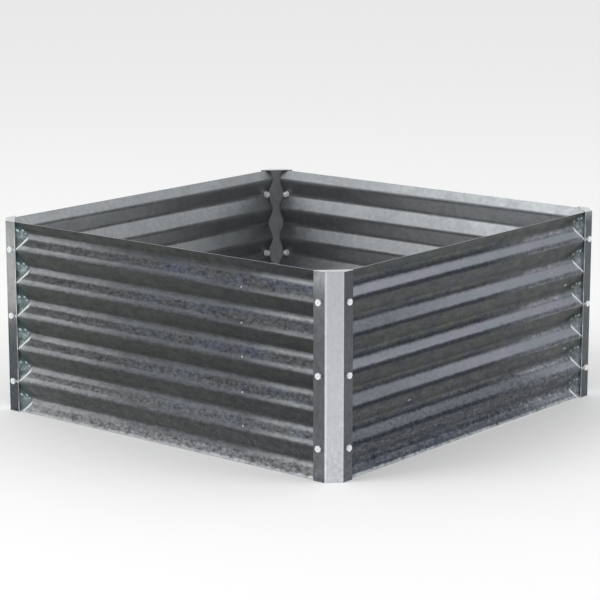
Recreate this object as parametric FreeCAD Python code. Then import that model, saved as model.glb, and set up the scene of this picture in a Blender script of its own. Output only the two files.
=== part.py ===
"""Raised garden bed: four folded corner posts, four corrugated panels and their fasteners.

Millimetres, +Z up. The origin is on the ground in the middle of the bed. The front faces -Y
and the right side faces +X.
"""

import FreeCAD, Part
import math
import os

V = FreeCAD.Vector
UP = V(0, 0, 1)

# The bed
bed_length = 1000.0  # along X, over the posts
bed_width = 1000.0  # along Y, over the posts
bed_height = 450.0  # ground to the top of the cap plates

# The corner post
post_sheet = 1.2
post_flange_width = 30.0  # from the bend line to the free edge
post_face_width = 40.0  # the 45 degree face, between its two bend lines
post_bend_inside = 1.3  # inner radius of the post's bends
cap_slit = 0.4  # between a flange's top edge and the cap plate

# The corrugated panel
panel_sheet = 0.8
corrugation_pitch = 78.0
corrugation_depth = 17.0  # over both skins
corrugation_flank = 19.0  # straight run between a crest's bend and a valley's
first_crest_height = 72.0  # the lowest whole crest, above the ground
panel_foot_gap = 2.0  # ground to the panel's lower edge
panel_top_gap = 0.6  # panel's upper edge to the cap plate
panel_end_gap = 3.2  # panel's end to the post's bend line
panel_seat_gap = 0.1  # crest to the inside of the flange

# The fasteners
crests_per_bolt = 2
bolt_diameter = 8.0
bolt_head_height = 5.3
bolt_tip_proud = 3.9  # past the nut
bolt_tip_chamfer = 1.0
bolt_hole_clearance = 0.5  # radial, in the flange and the panel
bolt_turn_step = 23.0  # degrees that each head is turned past the last
hex_across_flats = 13.0  # head and nut
hex_chamfer = 0.6
nut_height = 6.8
thread_clearance = 0.1  # radial, in the nut
washer_diameter = 16.0
washer_thickness = 1.6
washer_hole_clearance = 0.2  # radial
washer_seat_gap = 0.1  # washer's rim to the panel

# Places that follow from the post: depths are from a side's outer plane
bend_angle = 45.0
post_leg = post_face_width / math.sqrt(2)  # corner to bend line, along either side
post_reach = post_leg + post_flange_width  # corner to free edge
post_bend_radius = post_bend_inside + post_sheet
bend_tangent = post_bend_radius * math.tan(math.radians(bend_angle / 2))
cap_underside = bed_height - post_sheet

# Places that follow from the panel
panel_top = cap_underside - panel_top_gap
panel_skin_depth = post_sheet + panel_seat_gap
wave_swing = corrugation_depth - panel_sheet  # mid-sheet, crest to valley
half_pitch = corrugation_pitch / 2
wave_slope = 2 * math.atan(wave_swing / (half_pitch + corrugation_flank))
wave_radius = (half_pitch - corrugation_flank * math.cos(wave_slope)) / (2 * math.sin(wave_slope))

# Places that follow from the fasteners
bolt_inset = post_leg + post_flange_width / 2  # corner to the bolt line
bolt_hole_radius = bolt_diameter / 2 + bolt_hole_clearance
crest_hollow = wave_radius - panel_sheet / 2  # inner radius of a crest
washer_drop = crest_hollow - math.sqrt(crest_hollow**2 - (washer_diameter / 2) ** 2)
washer_depth = panel_skin_depth + panel_sheet + washer_drop + washer_seat_gap
nut_depth = washer_depth + washer_thickness
bolt_length = nut_depth + nut_height + bolt_tip_proud
crest_count = int((panel_top - bolt_hole_radius - first_crest_height) // corrugation_pitch) + 1
bolt_heights = [
    first_crest_height + crest * corrugation_pitch
    for crest in range(0, crest_count, crests_per_bolt)
]

# Each side of the bed: its turn about Z from the front, its length, how far its outer plane
# lies from the middle, the names of its two ends, and the corner at the second one.
SIDES = {
    "front": (0, bed_length, bed_width / 2, ("left", "right"), "front_right"),
    "right": (90, bed_width, bed_length / 2, ("front", "back"), "back_right"),
    "back": (180, bed_length, bed_width / 2, ("right", "left"), "back_left"),
    "left": (270, bed_width, bed_length / 2, ("back", "front"), "front_left"),
}


def left_of(direction):
    """Unit vector a quarter turn anticlockwise from a direction in the XY plane."""
    return UP.cross(direction).normalize()


def skin_edges(corners, radius, offset):
    """Edges of one skin of a bent sheet, offset to the left of its mid-sheet line."""
    edges = []
    start = corners[0] + left_of(corners[1] - corners[0]) * offset
    for before, corner, after in zip(corners, corners[1:], corners[2:]):
        back = (before - corner).normalize()
        ahead = (after - corner).normalize()
        inward = (back + ahead).normalize()
        half_angle = back.getAngle(ahead) / 2
        centre = corner + inward * (radius / math.sin(half_angle))
        turns_left = left_of(ahead).dot(inward) > 0
        skin_radius = radius - offset if turns_left else radius + offset
        tangent = radius / math.tan(half_angle)
        first = centre + (corner + back * tangent - centre).normalize() * skin_radius
        last = centre + (corner + ahead * tangent - centre).normalize() * skin_radius
        edges.append(Part.LineSegment(start, first).toShape())
        edges.append(Part.Arc(first, centre - inward * skin_radius, last).toShape())
        start = last
    end = corners[-1] + left_of(corners[-1] - corners[-2]) * offset
    edges.append(Part.LineSegment(start, end).toShape())
    return edges


def bent_strip(corners, radius, thickness):
    """Section of a bent sheet in the XY plane: its mid-sheet line runs through the corners,
    each rounded to this mid-sheet radius."""
    left = skin_edges(corners, radius, thickness / 2)
    right = skin_edges(corners, radius, -thickness / 2)
    ends = [
        Part.LineSegment(left[i].Vertexes[i].Point, right[i].Vertexes[i].Point).toShape()
        for i in (0, -1)
    ]
    return Part.Face(Part.Wire(Part.__sortEdges__(left + right + ends)))


def corner_post():
    """The post with its corner at the local origin: its outer planes are X = 0 and Y = 0, and
    its flanges run towards -X and +Y."""
    mid = post_sheet / 2
    mid_leg = post_leg + mid * math.tan(math.radians(bend_angle / 2))
    corners = [V(-post_reach, mid, 0), V(-mid_leg, mid, 0), V(-mid, mid_leg, 0), V(-mid, post_reach, 0)]
    walls = bent_strip(corners, post_bend_radius - mid, post_sheet).extrude(UP * bed_height)
    post = walls.cut(flange_slits()).fuse([cap_plate(), fold_sliver(post_bend_inside, post_sheet)])
    post = post.cut(fold_sliver(post_bend_radius, 0)).removeSplitter()
    for height in bolt_heights:
        on_front = V(-bolt_inset, 0, height), V(0, 1, 0)
        on_right = V(0, bolt_inset, height), V(-1, 0, 0)
        for start, inward in (on_front, on_right):
            post = post.cut(Part.makeCylinder(bolt_hole_radius, post_sheet, start, inward))
    return post


def flange_slits():
    """What is cut from the flanges' tops, so that the cap plate hangs on the 45 degree face."""
    length = post_flange_width - bend_tangent
    height = cap_slit + post_sheet
    low = bed_height - height
    over_front = Part.makeBox(length, post_sheet, height, V(-post_reach, 0, low))
    over_right = Part.makeBox(
        post_sheet, length, height, V(-post_sheet, post_reach - length, low)
    )
    return over_front.fuse(over_right)


def cap_plate():
    """The level plate over both flanges. Its inner edge runs straight between their ends."""
    outline = Part.makePolygon(
        [
            V(-post_reach, 0, cap_underside),
            V(-post_leg, 0, cap_underside),
            V(0, post_leg, cap_underside),
            V(0, post_reach, cap_underside),
            V(-post_reach, 0, cap_underside),
        ]
    )
    return Part.Face(outline).extrude(UP * post_sheet)


def fold_sliver(radius, depth):
    """What lies between a square corner and its round, this deep into the sheet, along the
    fold where the 45 degree face turns into the cap plate."""
    length = post_face_width - 2 * bend_tangent if depth else post_face_width + 2 * post_bend_radius
    square = Part.makeBox(length, radius, radius, V(-length / 2, 0, -radius))
    drum = Part.makeCylinder(radius, length, V(-length / 2, radius, -radius), V(1, 0, 0))
    sliver = square.cut(drum)
    sliver.translate(V(0, depth, bed_height - depth))
    sliver.rotate(V(0, 0, 0), UP, bend_angle)
    sliver.translate(V(-post_leg / 2, post_leg / 2, 0))
    return sliver


def wave_corners():
    """Corners of the zigzag that the corrugation rounds, in a plane where X is height and Y is
    depth. It starts below the panel's lower edge and ends above its upper edge."""
    overshoot = wave_radius * (1 / math.cos(wave_slope) - 1)
    crest_depth = panel_skin_depth + panel_sheet / 2 - overshoot
    valley_depth = panel_skin_depth + panel_sheet / 2 + wave_swing + overshoot
    first = math.floor((panel_foot_gap - first_crest_height) / half_pitch) - 1
    last = math.ceil((panel_top - first_crest_height) / half_pitch) + 1
    corners = []
    for step in range(first, last + 1):
        depth = valley_depth if step % 2 else crest_depth
        corners.append(V(first_crest_height + step * half_pitch, depth, 0))
    return corners


def side_panel(side_length):
    """A panel in the front's local frame: its outer plane is Y = 0, and it is centred on X."""
    length = side_length - 2 * (post_leg + panel_end_gap)
    wave = bent_strip(wave_corners(), wave_radius, panel_sheet).extrude(UP * length)
    # Stand the wave up: height runs from X to Z, and the ridges from Z to -X
    wave.rotate(V(0, 0, 0), V(0, 1, 0), -90)
    wave.translate(V(length / 2, 0, 0))
    trim_corner = V(-length / 2, 0, panel_foot_gap)
    depth = panel_skin_depth + corrugation_depth
    trim = Part.makeBox(length, 2 * depth, panel_top - panel_foot_gap, trim_corner)
    panel = wave.common(trim)
    for height in bolt_heights:
        for end in (-1, 1):
            start = V(end * (side_length / 2 - bolt_inset), 0, height)
            panel = panel.cut(Part.makeCylinder(bolt_hole_radius, depth, start, V(0, 1, 0)))
    return panel


def hexagon(height):
    """A hexagonal prism up from Z = 0, with the corners turned off its upper end."""
    corner_radius = hex_across_flats / math.sqrt(3)
    turns = [math.radians(60 * i) for i in range(7)]
    corners = [V(corner_radius * math.cos(turn), corner_radius * math.sin(turn), 0) for turn in turns]
    prism = Part.Face(Part.makePolygon(corners)).extrude(UP * height)
    straight = height - hex_chamfer
    end_radius = corner_radius - hex_chamfer * math.tan(math.radians(60))
    cone = Part.makeCone(corner_radius, end_radius, hex_chamfer, V(0, 0, straight))
    return prism.common(Part.makeCylinder(corner_radius, straight).fuse(cone))


def bolt():
    """A bolt whose head seats on Z = 0 and whose shank runs down from it."""
    radius = bolt_diameter / 2
    straight = bolt_length - bolt_tip_chamfer
    shank = Part.makeCylinder(radius, straight, V(0, 0, -straight))
    tip = Part.makeCone(radius - bolt_tip_chamfer, radius, bolt_tip_chamfer, V(0, 0, -bolt_length))
    return hexagon(bolt_head_height).fuse([shank, tip]).removeSplitter()


def washer():
    """A washer whose rim meets the hollow of the crest."""
    far_side = V(0, 0, -nut_depth)
    disc = Part.makeCylinder(washer_diameter / 2, washer_thickness, far_side)
    hole_radius = bolt_diameter / 2 + washer_hole_clearance
    return disc.cut(Part.makeCylinder(hole_radius, washer_thickness, far_side))


def nut():
    """A nut with its flat end on the washer."""
    body = hexagon(nut_height)
    bore = Part.makeCylinder(bolt_diameter / 2 + thread_clearance, nut_height)
    body = body.cut(bore)
    body.rotate(V(0, 0, 0), V(1, 0, 0), 180)
    body.translate(V(0, 0, -nut_depth))
    return body


def fastener_row(make, across, first_turn):
    """One fastener at each bolt height, this far along X in the front's local frame."""
    row = []
    for index, height in enumerate(bolt_heights):
        piece = make()
        piece.rotate(V(0, 0, 0), UP, first_turn + index * bolt_turn_step)
        piece.rotate(V(0, 0, 0), V(1, 0, 0), 90)
        piece.translate(V(across, 0, height))
        row.append(piece)
    return Part.makeCompound(row)


def save(node, shape, turn, outer_plane):
    """Write a shape from the front's local frame on its own side of the bed."""
    placed = shape.copy()
    placed.translate(V(0, -outer_plane, 0))
    placed.rotate(V(0, 0, 0), UP, turn)
    placed.exportStep(f"parts/{node}.step")


os.makedirs("parts", exist_ok=True)
post = corner_post()
row_turn = 0.0
for side, (turn, side_length, outer_plane, ends, corner) in SIDES.items():
    corner_piece = post.copy()
    corner_piece.translate(V(side_length / 2, 0, 0))
    save(f"corner_post_{corner}", corner_piece, turn, outer_plane)
    save(f"side_panel_{side}", side_panel(side_length), turn, outer_plane)
    for end, direction in zip(ends, (-1, 1)):
        across = direction * (side_length / 2 - bolt_inset)
        for kind, make in (("bolts", bolt), ("washers", washer), ("nuts", nut)):
            row = fastener_row(make, across, row_turn)
            save(f"{kind}_{side}_panel_{end}", row, turn, outer_plane)
        row_turn += bolt_turn_step * len(bolt_heights)
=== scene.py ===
"""How the raised garden bed looks: galvanised posts, corrugated panels and plated fasteners,
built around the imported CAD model. Pieces are shaped in millimetres and stored in metres."""

import math

import bmesh
import bpy
from mathutils import Matrix, Vector


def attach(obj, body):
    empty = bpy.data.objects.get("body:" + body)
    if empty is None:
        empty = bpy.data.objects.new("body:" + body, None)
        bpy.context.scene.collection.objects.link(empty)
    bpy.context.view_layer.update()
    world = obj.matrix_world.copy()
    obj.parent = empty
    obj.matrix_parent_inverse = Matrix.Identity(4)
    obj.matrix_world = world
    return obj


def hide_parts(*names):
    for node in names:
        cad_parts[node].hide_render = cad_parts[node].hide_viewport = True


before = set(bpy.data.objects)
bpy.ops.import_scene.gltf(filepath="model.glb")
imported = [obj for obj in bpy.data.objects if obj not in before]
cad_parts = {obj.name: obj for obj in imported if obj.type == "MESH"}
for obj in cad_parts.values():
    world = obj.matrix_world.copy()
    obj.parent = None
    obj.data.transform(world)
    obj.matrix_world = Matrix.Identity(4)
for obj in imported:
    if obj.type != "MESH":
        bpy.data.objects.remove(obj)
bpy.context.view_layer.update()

# ---------------------------------------------------------------------------------------------
# The studio: a plain pale floor, an even white sky, one large soft lamp on each side.
# The camera stands off the front right corner, a little above the bed.

bpy.context.scene.view_settings.view_transform = "Standard"

middle_of_bed = Vector((0, 0, 0.25))

camera = bpy.data.objects.new("camera", bpy.data.cameras.new("camera"))
camera.location = (3.3566, -4.0924, 1.3811)
aim = Vector((-0.0592, 0.0662, 0.2248))
camera.rotation_euler = (aim - camera.location).to_track_quat("-Z", "Y").to_euler()
camera.data.sensor_width = 36
camera.data.lens = 137.8
camera.data.clip_end = 300
bpy.context.collection.objects.link(camera)
bpy.context.scene.camera = camera


def soft_lamp(name, place, width, watts):
    """A square soft box that faces the middle of the bed."""
    lamp = bpy.data.objects.new(name, bpy.data.lights.new(name, "AREA"))
    lamp.data.shape = "SQUARE"
    lamp.data.size = width
    lamp.data.energy = watts
    lamp.location = place
    lamp.rotation_euler = (middle_of_bed - Vector(place)).to_track_quat("-Z", "Y").to_euler()
    bpy.context.collection.objects.link(lamp)


soft_lamp("key_lamp", (-2.2, -4.2, 4.6), 2.8, 100)
soft_lamp("side_lamp", (4.6, 2.2, 3.4), 2.4, 42)


class Shade:
    """A socket in a node tree. Sums, differences and products of these add Math nodes."""

    def __init__(self, tree, socket=None):
        self.tree = tree
        self.socket = socket

    def node(self, kind, settings=None, values=None, output=0):
        """Add a node, with its settings first and then its sockets' values or links."""
        node = self.tree.nodes.new(kind)
        for name, value in (settings or {}).items():
            if name == "stops":
                stops = node.color_ramp.elements
                stops.remove(stops[1])
                stops[0].position, stops[0].color = value[0]
                for position, colour in value[1:]:
                    stops.new(position).color = colour
            else:
                setattr(node, name, value)
        for name, value in (values or {}).items():
            if isinstance(value, Shade):
                self.tree.links.new(value.socket, node.inputs[name])
            else:
                node.inputs[name].default_value = value
        return Shade(self.tree, node.outputs[output])

    def maths(self, operation, *others):
        values = {0: self, **{i + 1: other for i, other in enumerate(others)}}
        return self.node("ShaderNodeMath", {"operation": operation}, values)

    def __add__(self, other):
        return self.maths("ADD", other)

    __radd__ = __add__

    def __mul__(self, other):
        return self.maths("MULTIPLY", other)

    __rmul__ = __mul__

    def __sub__(self, other):
        return self.maths("SUBTRACT", other)

    def __rsub__(self, other):
        return self * -1 + other

    def size(self):
        return self.maths("ABSOLUTE")

    def squared(self):
        return self.maths("POWER", 2)

    def at_most(self, level):
        return self.maths("MINIMUM", level)

    def rise(self, low, high):
        """0 below low, 1 above high, straight between them."""
        span = {"clamp": True}
        return self.node("ShaderNodeMapRange", span, {0: self, 1: float(low), 2: float(high)})

    def levels(self, first, last, *pairs):
        """A level at each place between first and last, straight between them."""
        stops = [((place - first) / (last - first), (level,) * 3 + (1,)) for place, level in pairs]
        return self.node("ShaderNodeValToRGB", {"stops": stops}, {0: self.rise(first, last)})

    def mix(self, low, high):
        """One colour where this is 0 and another where it is 1."""
        return self.node("ShaderNodeMix", {"data_type": "RGBA"}, {0: self, 6: low, 7: high}, 2)

    def parts(self):
        return [self.node("ShaderNodeSeparateXYZ", None, {0: self}, i) for i in range(3)]

    def times(self, factor):
        """A colour or vector, every part times one factor."""
        return self.node("ShaderNodeVectorMath", {"operation": "SCALE"}, {0: self, "Scale": factor})

    def noise(self, scale, detail=2.0, roughness=0.5):
        """Soft noise, about 0.5, on this place."""
        values = {"Vector": self, "Scale": scale, "Detail": detail, "Roughness": roughness}
        return self.node("ShaderNodeTexNoise", None, values)

    def mottle(self, fineness, detail=2.0, roughness=0.5):
        """Soft noise whose fineness, per millimetre, differs along x, y and z."""
        stretched = self.node("ShaderNodeMapping", None, {0: self, "Scale": fineness})
        return stretched.noise(1.0, detail, roughness)

    def crystals(self, scale):
        """A random level from 0 to 1 in each cell of a crystal pattern on this place."""
        cells = self.node("ShaderNodeTexVoronoi", None, {"Vector": self, "Scale": scale}, 1)
        return cells.parts()[0]


def paint(red, green, blue):
    """A display colour, 0 to 255, as the linear colour that a shader takes."""
    return tuple(((c / 255 + 0.055) / 1.055) ** 2.4 for c in (red, green, blue)) + (1.0,)


sky = bpy.data.worlds.new("sky")
sky.use_nodes = True
bpy.context.scene.world = sky
up = Shade(sky.node_tree).node("ShaderNodeTexCoord").parts()[2]
sky_white = up.levels(-1, 1, (0, 1.0), (0.1, 0.98), (0.6, 0.83), (1, 0.75))
sky.node_tree.links.new(sky_white.socket, sky.node_tree.nodes["Background"].inputs[0])

pale = bpy.data.materials.new("pale_floor")
pale.use_nodes = True
pale_surface = pale.node_tree.nodes["Principled BSDF"]
pale_surface.inputs["Base Color"].default_value = (0.97, 0.97, 0.97, 1)
pale_surface.inputs["Roughness"].default_value = 0.9
pale_surface.inputs["Specular IOR Level"].default_value = 0.1

ground = bmesh.new()
bmesh.ops.create_grid(ground, x_segments=1, y_segments=1, size=60)
floor = bpy.data.objects.new("floor", bpy.data.meshes.new("floor"))
ground.to_mesh(floor.data)
ground.free()
floor.data.materials.append(pale)
bpy.context.collection.objects.link(floor)

# ---------------------------------------------------------------------------------------------
# The four corner posts: 1.2 mm galvanised sheet, folded twice to a 45 degree face between two
# flanges, with the face's top folded in to a level cap plate over the corner.

post_sheet = 1.2
post_leg = 28.284  # corner to each fold
post_reach = 58.284  # corner to each flange's free edge
post_bend = 2.5  # outside radius
cap_clearance = 0.4  # from the flanges' tops up to the cap plate
bed_height = 450.0
half_bed = 500.0
pitch = 78.0  # of the panels' corrugation
first_crest = 72.0
bolt_spacing = 2 * pitch


def steel(name, colour, roughness, relief=0.0, metallic=0.9):
    """A metal whose colour, roughness and fine relief, as strong as given, come from shading."""
    material = bpy.data.materials.new(name)
    material.use_nodes = True
    surface = material.node_tree.nodes["Principled BSDF"]
    start = Shade(material.node_tree)
    place = start.node("ShaderNodeTexCoord", output=3).times(1000.0)
    normal = start.node("ShaderNodeTexCoord", output=1)
    links = material.node_tree.links
    links.new(colour(place, normal).socket, surface.inputs["Base Color"])
    links.new(roughness(place).socket, surface.inputs["Roughness"])
    if callable(metallic):
        links.new(metallic(place).socket, surface.inputs["Metallic"])
    else:
        surface.inputs["Metallic"].default_value = metallic
    if relief:
        values = {"Strength": relief, "Distance": 0.0002, "Height": fine_relief(place)}
        links.new(start.node("ShaderNodeBump", None, values).socket, surface.inputs["Normal"])
    return material


def dull_patches(place):
    return place.noise(0.03, 3.0).levels(0, 1, (0.3, 0.3), (0.7, 0.42))


def fine_relief(place):
    return place.crystals(0.13) * 0.5 + place.noise(0.6, 3.0, 0.6)


def by_height(z, *pairs):
    """A level at each height from the ground to the rim."""
    return z.levels(0, bed_height, *pairs)


def bands(wave, *pairs):
    """A level at each height above a crest, over one pitch of the corrugation."""
    return wave.levels(0, pitch, *pairs)


def wave_height(z):
    """Height above the crest below, 0 to one pitch."""
    return (z * (1 / pitch) - first_crest / pitch).maths("FRACT") * pitch


def above_bolt(z):
    """Height above or below the nearest bolt, as a part of the bolts' spacing."""
    return ((z - first_crest) * (1 / bolt_spacing) + 0.5).maths("FRACT") - 0.5


def post_colour(place, normal):
    """Painted light: bright on the 45 degree faces and caps, greyer on the flanges; mottled at the
    foot.
    """
    x, y, z = place.parts()
    nx, ny, nz = normal.parts()
    faces_side, faces_front = nx.size(), ny.size()
    # Painted light: the slanted faces are painted bright and the flanges grey, by the way each one
    # faces
    slant = faces_side.at_most(faces_front).rise(0.22, 0.6)
    flat = 1 - slant  # 1 on the flanges
    # Each side seen from outside: the flanges at its far end differ from those at its near end, in
    # painted reflections that change with height
    u_front = x * ny.maths("SIGN") * -1
    u_side = y * nx.maths("SIGN")
    far_front = u_front.rise(-380, -420)
    far_side = u_side.rise(380, 420)
    near = by_height(z, (0, 0.45), (60, 0.3), (120, 0.08), (300, 0.1), (400, 0.35), (432, 1))
    front = near.mix(paint(91, 93, 97), paint(152, 155, 158))
    far = by_height(
        z, (150, 0), (205, 0.12), (228, 0.5), (260, 0.85), (300, 1), (425, 1), (445, 0.7)
    )
    front = far_front.mix(front, far.mix(paint(84, 87, 90), paint(167, 168, 168)))
    side = by_height(z, (0, 1), (30, 0.7), (70, 0.4), (200, 0.33), (330, 0.2), (400, 0))
    side = side.mix(paint(79, 83, 87), paint(120, 123, 128))
    side = far_side.mix(side, z.rise(425, 448).mix(paint(89, 93, 97), paint(140, 143, 145)))
    flange = (faces_side - faces_front).rise(-0.2, 0.2).mix(front, side)
    # Painted reflection: the face is painted lighter toward the bottom
    face = by_height(z, (0, 1), (bed_height, 0)).mix(paint(187, 189, 193), paint(207, 209, 213))
    # The face is 40 mm wide, with a painted highlight along each of its two folds
    aside = (x.size() - y.size()) * math.sqrt(0.5)
    fold_light = aside.rise(-14.5, -16.5) + aside.rise(17, 19) * 0.6
    colour = slant.mix(flange, face.times(1 + fold_light * 0.26))
    # Painted light: faces turned up, the cap plates, are painted brightest
    colour = nz.rise(0.4, 0.9).mix(colour, paint(216, 218, 221))
    drawn = place.mottle((0.5, 0.5, 0.008))
    spangle = place.crystals(0.1)
    blotch = place.noise(0.11, 4.0, 0.75)
    streak = place.mottle((0.12, 0.12, 0.03), 3.0, 0.6)
    foot = by_height(z, (0, 1), (40, 0.8), (90, 0.45), (160, 0.2), (bed_height, 0.16))
    light = 0.95 + (drawn - 0.5) * 0.16 + (spangle - 0.5) * (0.05 + flat * 0.08)
    light = light + (blotch - 0.5) * (0.15 + foot * (0.95 + flat * 0.6))
    light = light + (streak - 0.5) * flat * 0.7
    bluish = place.noise(0.05).rise(0.48, 0.6) * flat * foot.rise(0.3, 1.0)
    colour = (bluish * 0.45).mix(colour, paint(66, 76, 94))
    # The far flanges: a painted highlight along the free edge, 441.7 from the middle, and beside
    # each bolt
    inset = x.size().at_most(y.size())
    shown = (faces_side - faces_front).rise(-0.1, 0.1).mix(far_front, far_side)
    in_bands = bands(wave_height(z), (28, 1), (34, 0.3), (74, 0.3), (pitch, 1))
    edge_light = inset.rise(444.4, 442.8) * in_bands
    beside = inset.rise(452, 449) * above_bolt(z).size().rise(0.026, 0.018)
    # The painted highlights, laid over the flange colour
    marks = (edge_light.maths("MAXIMUM", beside) * shown * flat).rise(0, 1)
    return (marks * 0.85).mix(colour.times(light), paint(214, 218, 221))


def plain_zinc(place, normal):
    """The inside, not worn by the weather: even grey spangle, a little darker toward the bottom."""
    spangle = place.crystals(0.11)
    cloud = place.noise(0.012, 4.0)
    # Darker toward the bottom
    darker_low = by_height(place.parts()[2], (0, 0.72), (330, 0.86), (420, 1))
    light = (0.8 + spangle * 0.16 + cloud * 0.2) * darker_low
    return cloud.mix(paint(142, 146, 149), paint(150, 153, 155)).times(light)


def cut_edge(place, normal):
    return place.noise(0.4).mix(paint(170, 174, 177), paint(215, 218, 220))


post_skin = steel("galvanised_post_outside", post_colour, dull_patches, 0.12)
zinc_inside = steel("galvanised_inside", plain_zinc, dull_patches, 0.12)
sheared = steel("sheared_sheet_edge", cut_edge, dull_patches)


def fit(shape, name, node, finishes):
    """Turn a finished shape, in millimetres, into the piece that stands for a CAD node."""
    shape.transform(Matrix.Scale(0.001, 4))
    piece = bpy.data.objects.new(name, bpy.data.meshes.new(name))
    shape.to_mesh(piece.data)
    shape.free()
    piece.data.shade_smooth()
    for finish in finishes:
        piece.data.materials.append(finish)
    bpy.context.collection.objects.link(piece)
    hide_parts(node)
    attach(piece, "root")
    return piece


def sheet_metal(piece, thickness, offset, edge_round):
    """Give a skin its thickness, inward (offset -1) or both ways (0), and round its edges."""
    wall = piece.modifiers.new("sheet", "SOLIDIFY")
    wall.thickness = thickness / 1000
    wall.offset = offset
    wall.use_even_offset = True
    wall.material_offset = 1
    wall.material_offset_rim = 2
    soften(piece, edge_round)


def soften(piece, edge_round):
    """Take the sharpness off hard edges, and keep flat faces flat in the shading."""
    round_off = piece.modifiers.new("edges", "BEVEL")
    round_off.width = edge_round / 1000
    round_off.segments = 2
    round_off.limit_method = "ANGLE"
    round_off.angle_limit = math.radians(40)
    even = piece.modifiers.new("even_shading", "WEIGHTED_NORMAL")
    even.keep_sharp = True


def folded_post():
    """The outer skin of the post at the front right, with its corner at the origin."""
    shape = bmesh.new()
    ends = (-post_reach, 0), (-post_leg, 0), (0, post_leg), (0, post_reach)
    foot = [shape.verts.new((x, y, 0)) for x, y in ends]
    for start, end in zip(foot, foot[1:]):
        shape.edges.new((start, end))
    fold_start = bed_height - post_bend
    walls = bmesh.ops.extrude_edge_only(shape, edges=shape.edges[:])["geom"]
    risen = [g for g in walls if isinstance(g, bmesh.types.BMVert)]
    bmesh.ops.translate(shape, verts=risen, vec=(0, 0, fold_start))
    bends = [e for e in shape.edges if len(e.link_faces) == 2]
    tangent = post_bend * math.tan(math.radians(22.5))
    bmesh.ops.bevel(
        shape, geom=bends, offset=tangent, affect="EDGES", segments=6, profile=0.5, material=-1
    )
    # The flanges end just under the cap; the face's own top edge is folded over
    top = [e for e in shape.edges if all(v.co.z > fold_start - 0.1 for v in e.verts)]
    lip = max(top, key=lambda e: abs((e.verts[0].co - e.verts[1].co).dot((1, 1, 0))))
    rest = [e for e in top if e is not lip]
    stubs = bmesh.ops.extrude_edge_only(shape, edges=rest)["geom"]
    risen = [g for g in stubs if isinstance(g, bmesh.types.BMVert)]
    bmesh.ops.translate(shape, verts=risen, vec=(0, 0, post_bend - post_sheet - cap_clearance))
    inward = Vector((-1, 1, 0)).normalized()
    hinge = (lip.verts[0].co + lip.verts[1].co) / 2 + inward * post_bend
    fold = bmesh.ops.spin(
        shape, geom=[lip], cent=hinge, axis=(-1, -1, 0), angle=math.radians(90), steps=6
    )["geom_last"]
    folded = [g for g in fold if isinstance(g, bmesh.types.BMVert)]
    left, right = sorted(folded, key=lambda v: v.co.x)
    outline = (0, -left.co.x), (0, post_reach), (-post_reach, 0), (left.co.x, 0)
    cap = [shape.verts.new((x, y, left.co.z)) for x, y in outline]
    shape.faces.new([left, right, *cap])
    return shape


posts = {"front_right": 0, "back_right": 90, "back_left": 180, "front_left": 270}
for corner, turn in posts.items():
    shape = folded_post()
    bmesh.ops.recalc_face_normals(shape, faces=shape.faces)
    if sum(f.normal.dot((1, -1, 0.5)) for f in shape.faces) < 0:
        bmesh.ops.reverse_faces(shape, faces=shape.faces)
    shape.transform(
        Matrix.Rotation(math.radians(turn), 4, "Z") @ Matrix.Translation((half_bed, -half_bed, 0))
    )
    node = f"corner_post_{corner}"
    finishes = (post_skin, zinc_inside, sheared)
    piece = fit(shape, f"folded_post_{corner}", node, finishes)
    sheet_metal(piece, post_sheet, -1, 0.15)

# ---------------------------------------------------------------------------------------------
# The four side panels: 0.8 mm galvanised sheet rolled to a 78 mm corrugation that runs level,
# sheared to length and slid behind the posts' flanges, crests against them.

panel_sheet = 0.8
crest_depth = 1.7  # mid-sheet, from the side's outer plane
swing = 16.2  # mid-sheet, crest to valley
flank = 19.0
panel_length = 937.03
panel_reach = 470.0  # from the middle of a side, just past each end of its panel
panel_foot = 2.0
panel_top = 448.2
free_edge = half_bed - post_reach  # of the flange that each panel's end runs in behind
slope = 2 * math.atan(swing / (pitch / 2 + flank))
bend_radius = (pitch / 2 - flank * math.cos(slope)) / (2 * math.sin(slope))


def cut_off(shape, place, outward):
    """Cut all away that lies outward of a plane, and give back the cut's edges."""
    cut = bmesh.ops.bisect_plane(
        shape, geom=shape.verts[:] + shape.edges[:] + shape.faces[:],
        plane_co=place, plane_no=outward, clear_outer=True,
    )["geom_cut"]
    return [g for g in cut if isinstance(g, bmesh.types.BMEdge)]


def rolled_panel():
    """The mid-sheet of the front panel: a folded zigzag whose folds are rolled round."""
    shape = bmesh.new()
    tangent = bend_radius * math.tan(slope / 2)
    # A bevel's curve lies this far below its corner, so each corner starts as much further out
    rounded_off = 0.5858 * tangent * math.sin(slope / 2)
    chain = []
    for step in range(-3, 12):  # half pitches, from below the foot to above the top
        deep = step % 2
        depth = crest_depth + swing + rounded_off if deep else crest_depth - rounded_off
        height = first_crest + step * pitch / 2
        chain.append(shape.verts.new((-panel_length / 2, depth - half_bed, height)))
    for start, end in zip(chain, chain[1:]):
        shape.edges.new((start, end))
    rolled = bmesh.ops.extrude_edge_only(shape, edges=shape.edges[:])["geom"]
    far = [g for g in rolled if isinstance(g, bmesh.types.BMVert)]
    bmesh.ops.translate(shape, verts=far, vec=(panel_length, 0, 0))
    folds = [e for e in shape.edges if len(e.link_faces) == 2]
    bmesh.ops.bevel(
        shape, geom=folds, offset=tangent, affect="EDGES", segments=10, profile=0.5, material=-1
    )
    for height, direction in ((panel_foot, -1), (panel_top, 1)):
        cut_off(shape, (0, 0, height), (0, 0, direction))
    bmesh.ops.recalc_face_normals(shape, faces=shape.faces)
    if sum(f.normal.y * f.calc_area() for f in shape.faces) > 0:
        bmesh.ops.reverse_faces(shape, faces=shape.faces)
    return shape


def along(u, *pairs):
    """A level at each place along a side, from its left end to its right."""
    return u.levels(-panel_reach, panel_reach, *pairs)


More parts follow.
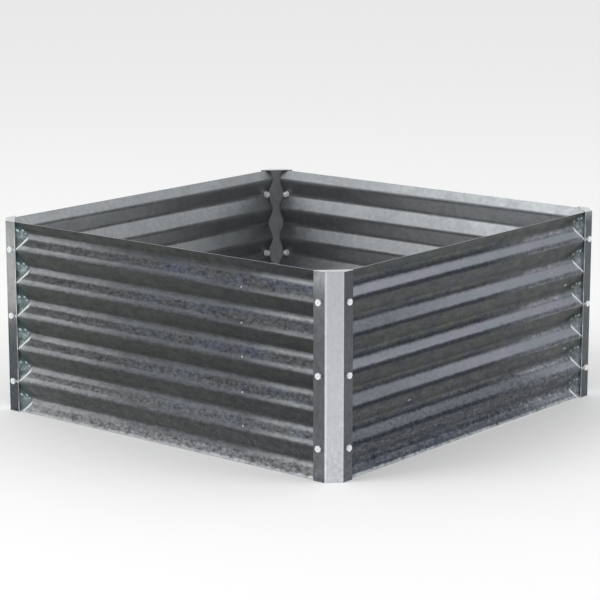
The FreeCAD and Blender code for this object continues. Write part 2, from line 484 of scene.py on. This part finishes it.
def tide_marks(local, wave, z):
    """Scribbled tide lines of dried water along each underside, strongest near the ground."""
    tide = local.mottle((0.075, 0.1, 0.075))
    shown = local.mottle((0.02, 0.02, 0.05)).rise(0.4, 0.55)
    lowness = by_height(
        z, (66, 1), (80, 0.45), (140, 0.4), (200, 0.25), (380, 0.15), (bed_height, 0.05)
    )
    lines = (tide - 0.5).size().rise(0.026, 0.006) * shown * lowness
    return lines * bands(wave, (48, 0), (52, 1), (64, 1), (69, 0))


def front_zinc(local, u, z):
    """The front and back: two pale lines of painted reflection along each upward flank, spangle
    between them, and a smooth underside painted dark as shade and reflection."""
    ragged = local.mottle((0.14, 0.1, 0.05), 3.0, 0.75) - 0.5
    right = u.rise(100, 190)
    left = u.rise(-300, -440)
    # Some crests' lines lie up to 3 mm higher or 2 mm lower, and two drop 3.8 mm on the right
    shift = by_height(z, (55, 0.6), (62, 0), (85, 0), (100, 1), (118, 1), (140, 0.6)) * 5 - 3
    drop = by_height(
        z, (290, 0), (298, 1), (316, 1), (332, 0), (365, 0), (376, 1), (394, 1), (410, 0)
    )
    wave = wave_height(z + ragged * 3.2 + shift + drop * right * 3.8)
    # Painted reflection: the pale lines are painted lighter toward the ends of the side
    ends = along(
        u, (-440, 1), (-300, 0.72), (-200, 0.4), (-100, 0.08), (0, 0), (170, 0), (250, 0.02),
        (310, 0.34), (370, 0.56), (440, 0.6),
    )
    # The two painted reflection lines, broad on the left and middle, and finer on the right
    broad = bands(
        wave, (0, 0.3), (3, 0.9), (5, 1), (9, 1), (12.5, 0.08), (24, 0), (25.5, 0.05),
        (28.5, 0.95), (33, 1), (38, 0.75), (41, 0), (72, 0), (76, 0.03), (pitch, 0.3),
    )
    fine = bands(
        wave, (0, 0.4), (2, 0.95), (3.5, 1.1), (6, 1.05), (8.5, 0.5), (12, 0.05), (25.5, 0),
        (28, 0.3), (31, 0.92), (33, 1.05), (35.5, 1), (38, 0.55), (41, 0), (72, 0), (76, 0.08),
        (pitch, 0.4),
    )
    line = broad * (1 - right) + fine * right
    # Painted shade and reflection: the underside band is painted dark
    under = bands(
        wave, (0, 0.15), (2, 0), (37, 0.1), (42.5, 1), (72, 1), (75, 0.75), (pitch, 0.15)
    )
    foot = by_height(
        z, (0, 1), (32, 0.9), (44, 0.62), (66, 0.4), (110, 0.35), (150, 0.12), (300, 0)
    )
    pale = z.rise(395, 415).mix(paint(88, 91, 95), paint(72, 75, 78))
    pale = ends.mix(pale, paint(147, 150, 152))
    cloud = local.mottle((0.012, 0.02, 0.03), 3.0)
    blue = cloud.rise(0.45, 0.62) * u.rise(-150, 50)
    spangled = blue.mix(paint(70, 72, 74), paint(65, 70, 82))
    spangled = (left * (0.05 + foot * 0.6) + foot * 0.65).mix(spangled, paint(134, 137, 139))
    spangled = spangled.times(1 - u.rise(100, 200) * 0.13)
    dark = along(u, (-440, 0), (50, 0.1), (300, 0.8), (440, 1))
    dark = dark.mix(paint(68, 70, 69), paint(58, 60, 64))
    # Painted reflection: green mottling in the dark underside
    tint = local.mottle((0.02, 0.03, 0.035))
    green = tint.levels(0, 1, (0.36, 1), (0.46, 0), (0.54, 0), (0.64, 1))
    dark = (green * 0.55).mix(dark, paint(65, 69, 60))
    dark = (foot * (0.6 + left * 0.5)).mix(dark, paint(108, 111, 113))
    pale = (foot * (0.14 + ends * 0.4)).mix(pale, paint(164, 167, 169))
    colour = line.mix(under.mix(spangled, dark), pale)
    colour = z.rise(9, 3).mix(colour, paint(172, 175, 177))  # the sheared foot
    grain = local.mottle((0.085, 0.09, 0.15), 3.0, 0.7)
    streak = local.mottle((0.025, 0.1, 0.12), 3.0, 0.65)
    smudge = local.mottle((0.05, 0.06, 0.1), 4.0, 0.7)
    rough = ((1 - under) * (1 - line * 0.8) + foot * 0.25) * (1 - left * 0.6)
    light = 1 + (grain - 0.5) * (0.25 + rough * 3.0)
    light = light + (streak - 0.5) * (0.45 + rough * 0.6 + left * 0.7)
    light = light + (cloud - 0.5) * 0.35 + (smudge - 0.5) * under * 1.5
    specks = local.mottle((0.3, 0.3, 0.45), 1.0).rise(0.7, 0.78) * (rough + 0.1)
    drops = ((u - 243).squared() + (wave - 8).squared()).rise(6, 3)  # one above each crest
    specks = (specks * 0.5 + drops * 0.8 + tide_marks(local, wave, z) * 0.2).at_most(1.0)
    return specks.mix(colour.times(light), paint(182, 186, 190))


def side_zinc(local, u, z):
    """The right and left: one crisp blue-grey band of painted reflection along each upward flank
    between two thin dark lines, and a streaked underside painted dark and faintly green as shade
    and reflection."""
    ragged = local.mottle((0.16, 0.1, 0.05), 3.0, 0.8) - 0.5
    wave = wave_height(z + ragged * 4)
    # The band is narrower above each crest that has bolts
    from_bolts = ((z - first_crest) * (1 / bolt_spacing) + 0.17).maths("FRACT")
    bolted = from_bolts.levels(0, 1, (0.49, 1), (0.51, 0), (0.98, 0), (1, 1))
    narrow = bands(wave, (0, 0), (6, 0.05), (10, 1), (22, 1), (27, 0.1), (29, 0))
    wide = bands(wave, (0, 0), (5.5, 0.05), (9.5, 1), (24.5, 1), (30, 0.1), (32, 0))
    band = narrow * bolted + wide * (1 - bolted)
    lines = bands(
        wave, (0, 0.9), (2, 1), (8, 0.95), (10, 0), (24, 0), (26.5, 0.8), (30, 1), (35, 0.55),
        (39, 0), (71, 0), (74, 0.2), (pitch, 0.9),
    )
    far = u.rise(30, 240)
    near = 1 - u.rise(-320, 20)
    # Painted reflection: the bright band is painted dimmer toward the near end and low down, by
    # height
    band_dimming = by_height(
        z, (40, 1), (70, 0.95), (110, 0.78), (150, 0.7), (174, 0.6), (190, 0.1), (230, 0.05),
        (270, 0.5), (306, 0.85), (328, 0.75), (345, 0),
    )
    low = z.rise(125, 105) * (1 - u.rise(180, 350))
    lift = (near * band_dimming).maths("MAXIMUM", low * band_dimming)
    cloud = local.mottle((0.012, 0.03, 0.04), 3.0)
    bright = cloud.rise(0.42, 0.58).mix(paint(124, 132, 138), paint(131, 132, 142))
    bright = lift.mix(bright, paint(89, 94, 101))
    # A painted glint along the lower edge of each band, toward the far end
    glint = along(u, (190, 0), (240, 1), (300, 0.95), (380, 0.8), (440, 0.3)) * lines
    edge = far.mix(paint(34, 39, 48), paint(90, 94, 100))
    edge = (glint * wave.rise(20, 24) * 0.75).mix(edge, paint(138, 142, 148))
    foot = by_height(
        z, (0, 1), (30, 0.7), (60, 0.65), (76, 0.4), (110, 0.3), (138, 0.27), (150, 0.06),
        (bed_height, 0),
    )
    # Painted reflection: the underside is painted faintly green
    tint = local.mottle((0.022, 0.03, 0.03), 3.0, 0.6)
    under = tint.rise(0.4, 0.5).mix(paint(71, 75, 80), paint(77, 81, 79))
    under = tint.rise(0.53, 0.62).mix(under, paint(82, 83, 80)).times(1 - u.rise(0, 150) * 0.2)
    under = (foot * 0.75).mix(under, paint(110, 114, 121))
    mud = local.mottle((0.045, 0.06, 0.08), 5.0, 0.75).rise(0.44, 0.56)
    mud = mud * z.rise(95, 60) * (1 - u.rise(-100, 300) * 0.7)
    strength = lines * (1 - band)
    colour = band.mix(strength.mix(under, edge), bright)
    colour = (mud * 0.6).mix(colour, paint(54, 61, 76))
    colour = ((z - 11).size().rise(2.5, 1) * 0.5).mix(colour, paint(56, 62, 72))
    colour = z.rise(8, 5).mix(colour, paint(154, 158, 162))  # the sheared foot
    grain = local.mottle((0.085, 0.1, 0.16), 4.0, 0.7)
    streak = local.mottle((0.03, 0.05, 0.07), 3.0, 0.6)
    rough = (1 - band) * (1 - lines * 0.3)
    light = 1 + (grain - 0.5) * (0.35 + foot * 2.8 + lift * 0.6 + rough * 0.7 + strength * 1.6)
    smudge = local.mottle((0.05, 0.06, 0.1), 4.0, 0.7)
    light = light + (streak - 0.5) * (0.2 + rough * 0.8) + (smudge - 0.5) * (0.15 + rough * 0.9)
    colour = colour.times(light)
    drops = 0  # round ones, dried on two of the undersides
    for across, height in ((-230, 128), (380, 283), (380, 131)):
        drops = ((u - across).squared() * 0.25 + (z - height).squared()).rise(10, 4) + drops
    marks = (tide_marks(local, wave, z) * 0.65 + drops * 0.9).at_most(1.0)
    return marks.mix(colour, paint(182, 187, 188))


def under_flange(local, colour, edge, z, green, spots):
    """Where the sheet runs in behind the far flange: a painted reflection of the flange's bright
    edge up each flank, and a green-black hollow of painted shade and reflection with painted
    glints, whose deep end is painted lighter to fill its shadow. Edge is the distance from the
    flange's free edge, less than 0 behind it."""
    wave = wave_height(z)
    deep = bands(
        wave, (0, 0), (10, 0.15), (22, 0.6), (34, 1), (46, 1), (58, 0.5), (68, 0.12), (pitch, 0)
    )
    # Painted light, filling the shadow deep in the hollow under the flange
    fill = edge.levels(-30, 60, (-14, 1), (-6, 0.66), (4, 0.3), (16, 0.1), (30, 0)) * deep * 8
    # Painted shade and reflection: the green-black hollow beside the flange
    hollow = bands(wave, (33, 0), (40, 1), (68, 1), (76, 0.3), (pitch, 0)) * edge.rise(34, 16)
    beyond = (wave - edge).rise(0, 3) * wave.rise(46, 40) * edge.rise(29, 26)
    hollow_mottle = local.mottle((0.075, 0.075, 0.09), 3.0, 0.75)
    teal = hollow_mottle.levels(0, 1, (0.35, 0), (0.5, 0.3), (0.62, 1))
    teal = teal.mix(paint(46, 61, 62), paint(118, 128, 128))
    colour = (hollow * green * 0.85).mix(colour, paint(46, 62, 63))
    colour = (beyond * green).mix(colour, teal)
    # Painted glints in the hollow
    glints = 0
    for place, height, size in spots:
        spot = (edge - place).squared() + (wave - height).squared() * 2
        glints = spot.rise(size * 2.4, size * 0.3) + glints
    colour = (glints * 0.7).at_most(1.0).mix(colour, paint(176, 190, 190))
    colour = colour.times(1 + fill)
    # Painted reflection of the flange's bright edge: a stroke up each flank
    width = edge.levels(0, 40, (0, 0.35), (22, 0.8), (27, 1)) * 3.8
    edge_reflection = ((wave - edge).size() - width).rise(1.2, 0) * edge.rise(-2, 0) * edge.rise(30, 27.5)
    return (edge_reflection * 0.92).mix(colour, paint(218, 224, 227))


def panel_skin(side, turn):
    """The outside of one panel, worn by the weather and with painted reflections and shade, laid
    out in the front's frame.
    """
    like_front = side in ("front", "back")

    def from_flange(place):
        """The place in the front's frame, and how far it is from the far flange's edge."""
        values = {0: place, "Rotation": (0, 0, -math.radians(turn))}
        local = place.node("ShaderNodeMapping", None, values)
        u = local.parts()[0]
        return local, u + free_edge if like_front else free_edge - u

    def colour(place, normal):
        local, edge = from_flange(place)
        u, _, z = local.parts()
        if like_front:
            spots = (-8, 43, 14), (11, 45, 9), (18, 38, 4)
            return under_flange(local, front_zinc(local, u, z), edge, z, 0.8, spots)
        spots = (24, 45, 12), (10, 50, 5), (-4, 49, 10)
        return under_flange(local, side_zinc(local, u, z), edge, z, 0.5, spots)

    def dulled(place):
        """Less of a mirror close to the far flange."""
        return from_flange(place)[1].levels(-30, 60, (0, 0.1), (15, 0.3), (45, 0.85))

    return steel(f"weathered_painted_light_{side}", colour, dull_patches, 0.1, dulled)


sides = {"front": 0, "right": 90, "back": 180, "left": 270}
for side, turn in sides.items():
    shape = rolled_panel()
    shape.transform(Matrix.Rotation(math.radians(turn), 4, "Z"))
    finishes = (panel_skin(side, turn), zinc_inside, sheared)
    piece = fit(shape, f"rolled_panel_{side}", f"side_panel_{side}", finishes)
    sheet_metal(piece, panel_sheet, 0, 0.12)

# ---------------------------------------------------------------------------------------------
# The bolts: M8 steel, zinc plated. Hexagon heads sit outside on the flanges, one at every
# second crest; each shank runs in through flange and panel, and its thread ends past the nut.

across_flats = 13.0
corner_radius = 7.506
chamfer_radius = 6.47  # where the chamfer meets a hexagon's flat end
head_height = 5.3
shank_radius = 4.0
shank_end = -7.0
thread_root = 3.35
thread_crest = 3.95
thread_pitch = 1.25
bolt_end = -16.04
head_turn = 23.0  # from each fastener to the next
bolt_inset = (post_leg + post_reach) / 2
bolt_heights = [first_crest + bolt_spacing * row for row in range(3)]

side_ends = {
    "front": ("left", "right"),
    "right": ("front", "back"),
    "back": ("right", "left"),
    "left": ("back", "front"),
}
bolt_rows = {}
row_turn = 0.0
for side, names in side_ends.items():
    for end, direction in zip(names, (-1, 1)):
        bolt_rows[side, end] = (sides[side], direction, row_turn)
        row_turn += len(bolt_heights) * head_turn


def turned(profile):
    """A turned solid: its outline, radius and height, goes once round the upright axis."""
    shape = bmesh.new()
    points = [shape.verts.new((radius, 0, height)) for radius, height in profile]
    lines = [shape.edges.new(pair) for pair in zip(points, points[1:])]
    if profile[0][0] > 0.01:
        lines.append(shape.edges.new((points[-1], points[0])))
    bmesh.ops.spin(
        shape, geom=points + lines, cent=(0, 0, 0), axis=(0, 0, 1), angle=math.tau, steps=48,
        use_merge=True,
    )
    bmesh.ops.remove_doubles(shape, verts=shape.verts, dist=0.0005)
    bmesh.ops.recalc_face_normals(shape, faces=shape.faces)
    return shape


def cut_hexagon(shape):
    """Cut six flats on a turned blank."""
    for side in range(6):
        angle = math.radians(30 + 60 * side)
        outward = Vector((math.cos(angle), math.sin(angle), 0))
        rim = cut_off(shape, outward * across_flats / 2, outward)
        bmesh.ops.edgeloop_fill(shape, edges=rim)


def one_bolt():
    """A bolt on the upright axis: its head stands on 0 and its shank goes down from there."""
    head = [
        (0, head_height - 0.25), (2.2, head_height - 0.2), (3.0, head_height),
        (chamfer_radius, head_height), (corner_radius, head_height - 0.6), (corner_radius, 0.35),
    ]
    underside = [(6.2, 0.3), (6.1, 0), (shank_radius, 0)]
    shank = [
        (shank_radius, shank_end), (thread_root, shank_end - 0.4), (thread_root, bolt_end + 0.64),
        (2.9, bolt_end), (0, bolt_end),
    ]
    shape = turned(head + underside + shank)
    cut_hexagon(shape)
    # The thread: a ridge wound round the core
    turns, steps = 5, 20
    foot, low = thread_root - 0.1, bolt_end + 0.34
    ridge = (foot, low), (thread_crest, low + 0.4), (thread_crest, low + 0.55), (foot, low + 0.95)
    points = [shape.verts.new((radius, 0, height)) for radius, height in ridge]
    lines = [shape.edges.new(pair) for pair in zip(points, points[1:])]
    bmesh.ops.spin(
        shape, geom=points + lines, cent=(0, 0, 0), axis=(0, 0, 1), angle=math.tau * turns,
        steps=turns * steps, dvec=(0, 0, thread_pitch / steps),
    )
    return shape


def fastener_row(make, side, end, name, kind):
    """Three of one fastener, in the line of bolts at one end of a side."""
    turn, direction, first_turn = bolt_rows[side, end]
    row = bmesh.new()
    for index, height in enumerate(bolt_heights):
        shape = make()
        shape.transform(
            Matrix.Rotation(math.radians(turn), 4, "Z")
            @ Matrix.Translation((direction * (half_bed - bolt_inset), -half_bed, height))
            @ Matrix.Rotation(math.radians(90), 4, "X")
            @ Matrix.Rotation(math.radians(first_turn + index * head_turn), 4, "Z")
        )
        mesh = bpy.data.meshes.new("one")
        shape.to_mesh(mesh)
        shape.free()
        row.from_mesh(mesh)
        bpy.data.meshes.remove(mesh)
    node = f"{kind}_{side}_panel_{end}"
    piece = fit(row, f"{name}_{side}_panel_{end}", node, (plated,))
    soften(piece, 0.12)


def plated_colour(place, normal):
    worn = place.noise(0.25, 3.0)
    zinc = worn.levels(0, 1, (0.35, 0), (0.65, 1)).mix(paint(222, 225, 228), paint(236, 238, 240))
    x, y, z = place.parts()
    aside = x.size().at_most(y.size()) - (half_bed - bolt_inset)
    from_axis = aside.squared() + (above_bolt(z) * bolt_spacing).squared()
    # The dish in each head is a little darker
    return (from_axis.rise(7, 2) * 0.4).mix(zinc, paint(150, 153, 157))


def plated_roughness(place):
    return place.noise(0.3).levels(0, 1, (0.3, 0.24), (0.7, 0.36))


plated = steel("zinc_plating", plated_colour, plated_roughness, metallic=0.15)
for side, end in bolt_rows:
    fastener_row(one_bolt, side, end, "hex_bolts", "bolts")

# ---------------------------------------------------------------------------------------------
# The washers: flat zinc-plated rings inside the bed, each across the hollow of a crest.

washer_top = -3.743  # against the panel, from the flange's outer face
washer_thickness = 1.6
washer_foot = washer_top - washer_thickness
washer_bore = 4.2
washer_radius = 8.0


def one_washer():
    """A washer on the upright axis, with slightly rounded corners."""
    upper = [
        (washer_bore, washer_top - 0.1), (washer_bore + 0.1, washer_top),
        (washer_radius - 0.3, washer_top), (washer_radius, washer_top - 0.3),
    ]
    lower = [
        (washer_radius, washer_foot + 0.3), (washer_radius - 0.3, washer_foot),
        (washer_bore + 0.1, washer_foot), (washer_bore, washer_foot + 0.1),
    ]
    return turned(upper + lower)


for side, end in bolt_rows:
    fastener_row(one_washer, side, end, "flat_washers", "washers")

# ---------------------------------------------------------------------------------------------
# The nuts: M8 hexagon nuts, zinc plated, run up tight on the washers inside the bed.

nut_top = washer_foot
nut_foot = nut_top - 6.8
nut_bore = 4.1


def one_nut():
    """A nut on the upright axis, chamfered in the bore and at its outer end."""
    upper = [
        (nut_bore, nut_top - 0.5), (nut_bore + 0.5, nut_top),
        (corner_radius - 0.306, nut_top), (corner_radius, nut_top - 0.2),
    ]
    lower = [
        (corner_radius, nut_foot + 0.6), (chamfer_radius, nut_foot),
        (nut_bore + 0.5, nut_foot), (nut_bore, nut_foot + 0.5),
    ]
    shape = turned(upper + lower)
    cut_hexagon(shape)
    return shape


for side, end in bolt_rows:
    fastener_row(one_nut, side, end, "hex_nuts", "nuts")
